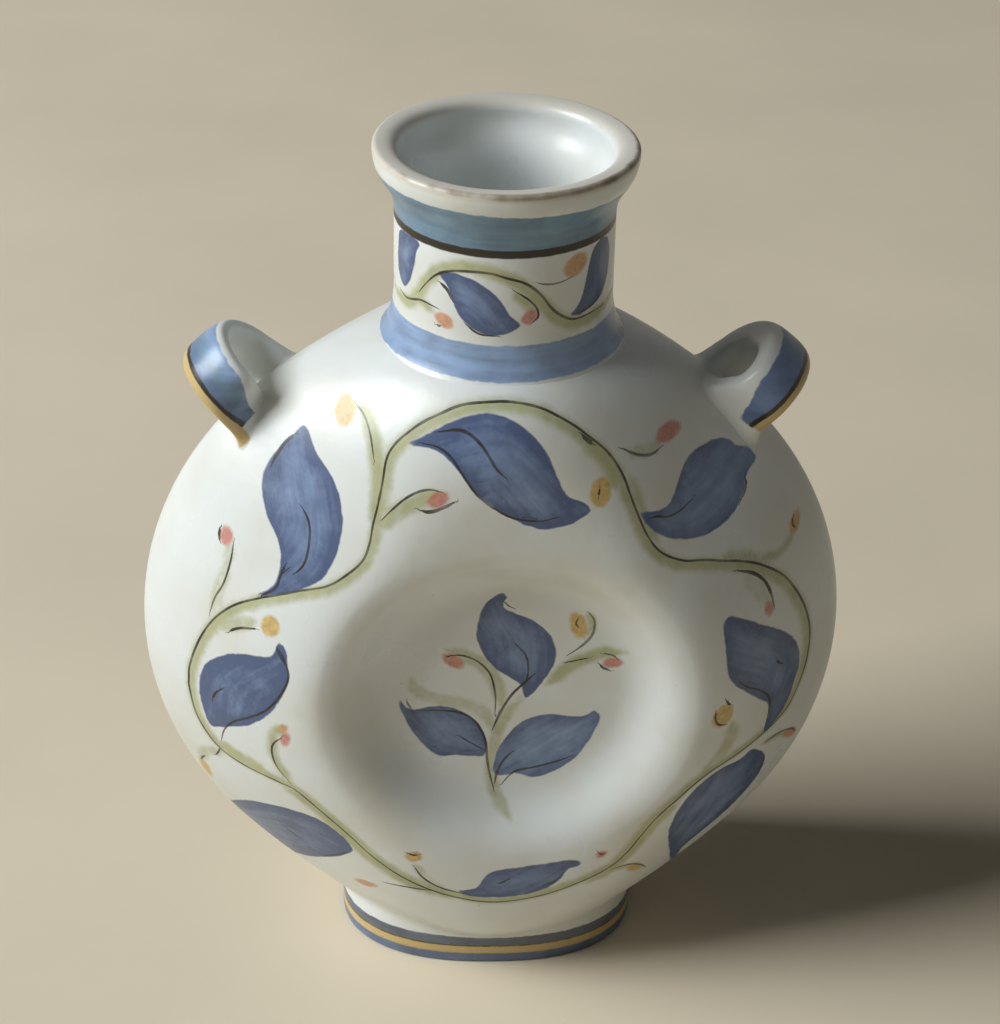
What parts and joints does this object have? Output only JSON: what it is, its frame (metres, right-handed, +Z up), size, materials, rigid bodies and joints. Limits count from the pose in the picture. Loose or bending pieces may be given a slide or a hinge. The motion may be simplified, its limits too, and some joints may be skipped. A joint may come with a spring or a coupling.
{
  "type": "pottery jug",
  "caption": "Flattened round pottery jug with a dimpled face, short flared neck, oval foot ring and a strap lug on each shoulder, in white glaze with painted leaves.",
  "frame": {"origin": "on the floor, under the middle of the foot ring, on the axis of the neck", "axes": "+Z up along the neck, X across the wide face through both lugs, -Y out of the front face"},
  "size_m": [0.18, 0.082, 0.2244],
  "materials": {
    "painted_glaze": "glossy off-white tin glaze over earthenware, with blue, green, yellow and pink brushwork under the gloss",
    "bare_clay": "fired buff earthenware, matt, thinly washed with glaze"
  },
  "bodies": {
    "root": {"body_front": "painted_glaze", "body_back": "painted_glaze", "seam_coil": "bare_clay", "neck": "painted_glaze", "neck_coil": "painted_glaze", "foot_ring": "painted_glaze", "handle_left": "painted_glaze", "handle_right": "painted_glaze"}
  },
  "joints": []
}
